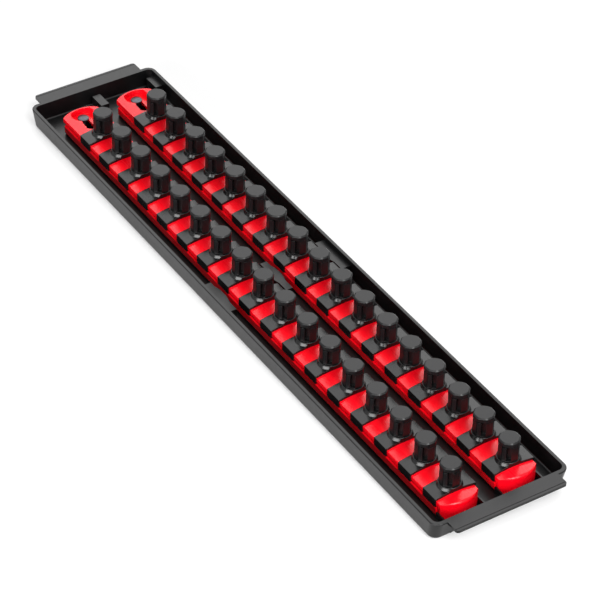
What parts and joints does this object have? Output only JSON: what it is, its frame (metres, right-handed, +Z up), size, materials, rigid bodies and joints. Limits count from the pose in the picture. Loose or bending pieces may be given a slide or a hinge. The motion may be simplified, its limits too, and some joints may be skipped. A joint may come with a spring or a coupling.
{
  "type": "socket organizer tray",
  "caption": "Long open drawer tray with two slide-locked rails, each carrying a row of clip-on twist-lock posts that hold sockets by their square drive hole.",
  "frame": {"origin": "centre of the tray's flat underside", "axes": "+X across the rails, +Y along them towards the keyhole end, +Z up"},
  "size_m": [0.0954, 0.5042, 0.0323],
  "materials": {
    "tray_plastic": "fine-textured black moulding",
    "rail_plastic": "glossy red moulding",
    "clip_plastic": "semi-matte black moulding",
    "post_plastic": "semi-matte black moulding",
    "pin_metal": "blackened, satin"
  },
  "bodies": {
    "tray": {"tray": "tray_plastic", "pin_left": "pin_metal", "pin_right": "pin_metal"},
    "rail_left": {"rail_left": "rail_plastic", "clip_bases_left": "clip_plastic"},
    "rail_right": {"rail_right": "rail_plastic", "clip_bases_right": "clip_plastic"},
    "post_left_01_body": {"post_left_01": "post_plastic"},
    "post_left_02_body": {"post_left_02": "post_plastic"},
    "post_left_03_body": {"post_left_03": "post_plastic"},
    "post_left_04_body": {"post_left_04": "post_plastic"},
    "post_left_05_body": {"post_left_05": "post_plastic"},
    "post_left_06_body": {"post_left_06": "post_plastic"},
    "post_left_07_body": {"post_left_07": "post_plastic"},
    "post_left_08_body": {"post_left_08": "post_plastic"},
    "post_left_09_body": {"post_left_09": "post_plastic"},
    "post_left_10_body": {"post_left_10": "post_plastic"},
    "post_left_11_body": {"post_left_11": "post_plastic"},
    "post_left_12_body": {"post_left_12": "post_plastic"},
    "post_left_13_body": {"post_left_13": "post_plastic"},
    "post_left_14_body": {"post_left_14": "post_plastic"},
    "post_left_15_body": {"post_left_15": "post_plastic"},
    "post_left_16_body": {"post_left_16": "post_plastic"},
    "post_left_17_body": {"post_left_17": "post_plastic"},
    "post_right_01_body": {"post_right_01": "post_plastic"},
    "post_right_02_body": {"post_right_02": "post_plastic"},
    "post_right_03_body": {"post_right_03": "post_plastic"},
    "post_right_04_body": {"post_right_04": "post_plastic"},
    "post_right_05_body": {"post_right_05": "post_plastic"},
    "post_right_06_body": {"post_right_06": "post_plastic"},
    "post_right_07_body": {"post_right_07": "post_plastic"},
    "post_right_08_body": {"post_right_08": "post_plastic"},
    "post_right_09_body": {"post_right_09": "post_plastic"},
    "post_right_10_body": {"post_right_10": "post_plastic"},
    "post_right_11_body": {"post_right_11": "post_plastic"},
    "post_right_12_body": {"post_right_12": "post_plastic"},
    "post_right_13_body": {"post_right_13": "post_plastic"},
    "post_right_14_body": {"post_right_14": "post_plastic"},
    "post_right_15_body": {"post_right_15": "post_plastic"},
    "post_right_16_body": {"post_right_16": "post_plastic"},
    "post_right_17_body": {"post_right_17": "post_plastic"}
  },
  "joints": [
    {"name": "rail_left_slide", "type": "slide", "parent": "tray", "child": "rail_left", "axis": [0, 1, 0], "range_m": [0, 0.013]},
    {"name": "rail_right_slide", "type": "slide", "parent": "tray", "child": "rail_right", "axis": [0, 1, 0], "range_m": [0, 0.013]},
    {"name": "post_left_01_turn", "type": "hinge", "parent": "rail_left", "child": "post_left_01_body", "pos_m": [-0.0206, 0.18845, 0.01608], "axis": [0, 0, 1], "range_deg": [0, 90]},
    {"name": "post_left_02_turn", "type": "hinge", "parent": "rail_left", "child": "post_left_02_body", "pos_m": [-0.0206, 0.16305, 0.01608], "axis": [0, 0, 1], "range_deg": [0, 90]},
    {"name": "post_left_03_turn", "type": "hinge", "parent": "rail_left", "child": "post_left_03_body", "pos_m": [-0.0206, 0.13765, 0.01608], "axis": [0, 0, 1], "range_deg": [0, 90]},
    {"name": "post_left_04_turn", "type": "hinge", "parent": "rail_left", "child": "post_left_04_body", "pos_m": [-0.0206, 0.11225, 0.01608], "axis": [0, 0, 1], "range_deg": [0, 90]},
    {"name": "post_left_05_turn", "type": "hinge", "parent": "rail_left", "child": "post_left_05_body", "pos_m": [-0.0206, 0.08685, 0.01608], "axis": [0, 0, 1], "range_deg": [0, 90]},
    {"name": "post_left_06_turn", "type": "hinge", "parent": "rail_left", "child": "post_left_06_body", "pos_m": [-0.0206, 0.06145, 0.01608], "axis": [0, 0, 1], "range_deg": [0, 90]},
    {"name": "post_left_07_turn", "type": "hinge", "parent": "rail_left", "child": "post_left_07_body", "pos_m": [-0.0206, 0.03605, 0.01608], "axis": [0, 0, 1], "range_deg": [0, 90]},
    {"name": "post_left_08_turn", "type": "hinge", "parent": "rail_left", "child": "post_left_08_body", "pos_m": [-0.0206, 0.01065, 0.01608], "axis": [0, 0, 1], "range_deg": [0, 90]},
    {"name": "post_left_09_turn", "type": "hinge", "parent": "rail_left", "child": "post_left_09_body", "pos_m": [-0.0206, -0.01475, 0.01608], "axis": [0, 0, 1], "range_deg": [0, 90]},
    {"name": "post_left_10_turn", "type": "hinge", "parent": "rail_left", "child": "post_left_10_body", "pos_m": [-0.0206, -0.04015, 0.01608], "axis": [0, 0, 1], "range_deg": [0, 90]},
    {"name": "post_left_11_turn", "type": "hinge", "parent": "rail_left", "child": "post_left_11_body", "pos_m": [-0.0206, -0.06555, 0.01608], "axis": [0, 0, 1], "range_deg": [0, 90]},
    {"name": "post_left_12_turn", "type": "hinge", "parent": "rail_left", "child": "post_left_12_body", "pos_m": [-0.0206, -0.09095, 0.01608], "axis": [0, 0, 1], "range_deg": [0, 90]},
    {"name": "post_left_13_turn", "type": "hinge", "parent": "rail_left", "child": "post_left_13_body", "pos_m": [-0.0206, -0.11635, 0.01608], "axis": [0, 0, 1], "range_deg": [0, 90]},
    {"name": "post_left_14_turn", "type": "hinge", "parent": "rail_left", "child": "post_left_14_body", "pos_m": [-0.0206, -0.14175, 0.01608], "axis": [0, 0, 1], "range_deg": [0, 90]},
    {"name": "post_left_15_turn", "type": "hinge", "parent": "rail_left", "child": "post_left_15_body", "pos_m": [-0.0206, -0.16715, 0.01608], "axis": [0, 0, 1], "range_deg": [0, 90]},
    {"name": "post_left_16_turn", "type": "hinge", "parent": "rail_left", "child": "post_left_16_body", "pos_m": [-0.0206, -0.19255, 0.01608], "axis": [0, 0, 1], "range_deg": [0, 90]},
    {"name": "post_left_17_turn", "type": "hinge", "parent": "rail_left", "child": "post_left_17_body", "pos_m": [-0.0206, -0.21795, 0.01608], "axis": [0, 0, 1], "range_deg": [0, 90]},
    {"name": "post_right_01_turn", "type": "hinge", "parent": "rail_right", "child": "post_right_01_body", "pos_m": [0.0206, 0.18845, 0.01608], "axis": [0, 0, 1], "range_deg": [0, 90]},
    {"name": "post_right_02_turn", "type": "hinge", "parent": "rail_right", "child": "post_right_02_body", "pos_m": [0.0206, 0.16305, 0.01608], "axis": [0, 0, 1], "range_deg": [0, 90]},
    {"name": "post_right_03_turn", "type": "hinge", "parent": "rail_right", "child": "post_right_03_body", "pos_m": [0.0206, 0.13765, 0.01608], "axis": [0, 0, 1], "range_deg": [0, 90]},
    {"name": "post_right_04_turn", "type": "hinge", "parent": "rail_right", "child": "post_right_04_body", "pos_m": [0.0206, 0.11225, 0.01608], "axis": [0, 0, 1], "range_deg": [0, 90]},
    {"name": "post_right_05_turn", "type": "hinge", "parent": "rail_right", "child": "post_right_05_body", "pos_m": [0.0206, 0.08685, 0.01608], "axis": [0, 0, 1], "range_deg": [0, 90]},
    {"name": "post_right_06_turn", "type": "hinge", "parent": "rail_right", "child": "post_right_06_body", "pos_m": [0.0206, 0.06145, 0.01608], "axis": [0, 0, 1], "range_deg": [0, 90]},
    {"name": "post_right_07_turn", "type": "hinge", "parent": "rail_right", "child": "post_right_07_body", "pos_m": [0.0206, 0.03605, 0.01608], "axis": [0, 0, 1], "range_deg": [0, 90]},
    {"name": "post_right_08_turn", "type": "hinge", "parent": "rail_right", "child": "post_right_08_body", "pos_m": [0.0206, 0.01065, 0.01608], "axis": [0, 0, 1], "range_deg": [0, 90]},
    {"name": "post_right_09_turn", "type": "hinge", "parent": "rail_right", "child": "post_right_09_body", "pos_m": [0.0206, -0.01475, 0.01608], "axis": [0, 0, 1], "range_deg": [0, 90]},
    {"name": "post_right_10_turn", "type": "hinge", "parent": "rail_right", "child": "post_right_10_body", "pos_m": [0.0206, -0.04015, 0.01608], "axis": [0, 0, 1], "range_deg": [0, 90]},
    {"name": "post_right_11_turn", "type": "hinge", "parent": "rail_right", "child": "post_right_11_body", "pos_m": [0.0206, -0.06555, 0.01608], "axis": [0, 0, 1], "range_deg": [0, 90]},
    {"name": "post_right_12_turn", "type": "hinge", "parent": "rail_right", "child": "post_right_12_body", "pos_m": [0.0206, -0.09095, 0.01608], "axis": [0, 0, 1], "range_deg": [0, 90]},
    {"name": "post_right_13_turn", "type": "hinge", "parent": "rail_right", "child": "post_right_13_body", "pos_m": [0.0206, -0.11635, 0.01608], "axis": [0, 0, 1], "range_deg": [0, 90]},
    {"name": "post_right_14_turn", "type": "hinge", "parent": "rail_right", "child": "post_right_14_body", "pos_m": [0.0206, -0.14175, 0.01608], "axis": [0, 0, 1], "range_deg": [0, 90]},
    {"name": "post_right_15_turn", "type": "hinge", "parent": "rail_right", "child": "post_right_15_body", "pos_m": [0.0206, -0.16715, 0.01608], "axis": [0, 0, 1], "range_deg": [0, 90]},
    {"name": "post_right_16_turn", "type": "hinge", "parent": "rail_right", "child": "post_right_16_body", "pos_m": [0.0206, -0.19255, 0.01608], "axis": [0, 0, 1], "range_deg": [0, 90]},
    {"name": "post_right_17_turn", "type": "hinge", "parent": "rail_right", "child": "post_right_17_body", "pos_m": [0.0206, -0.21795, 0.01608], "axis": [0, 0, 1], "range_deg": [0, 90]}
  ]
}
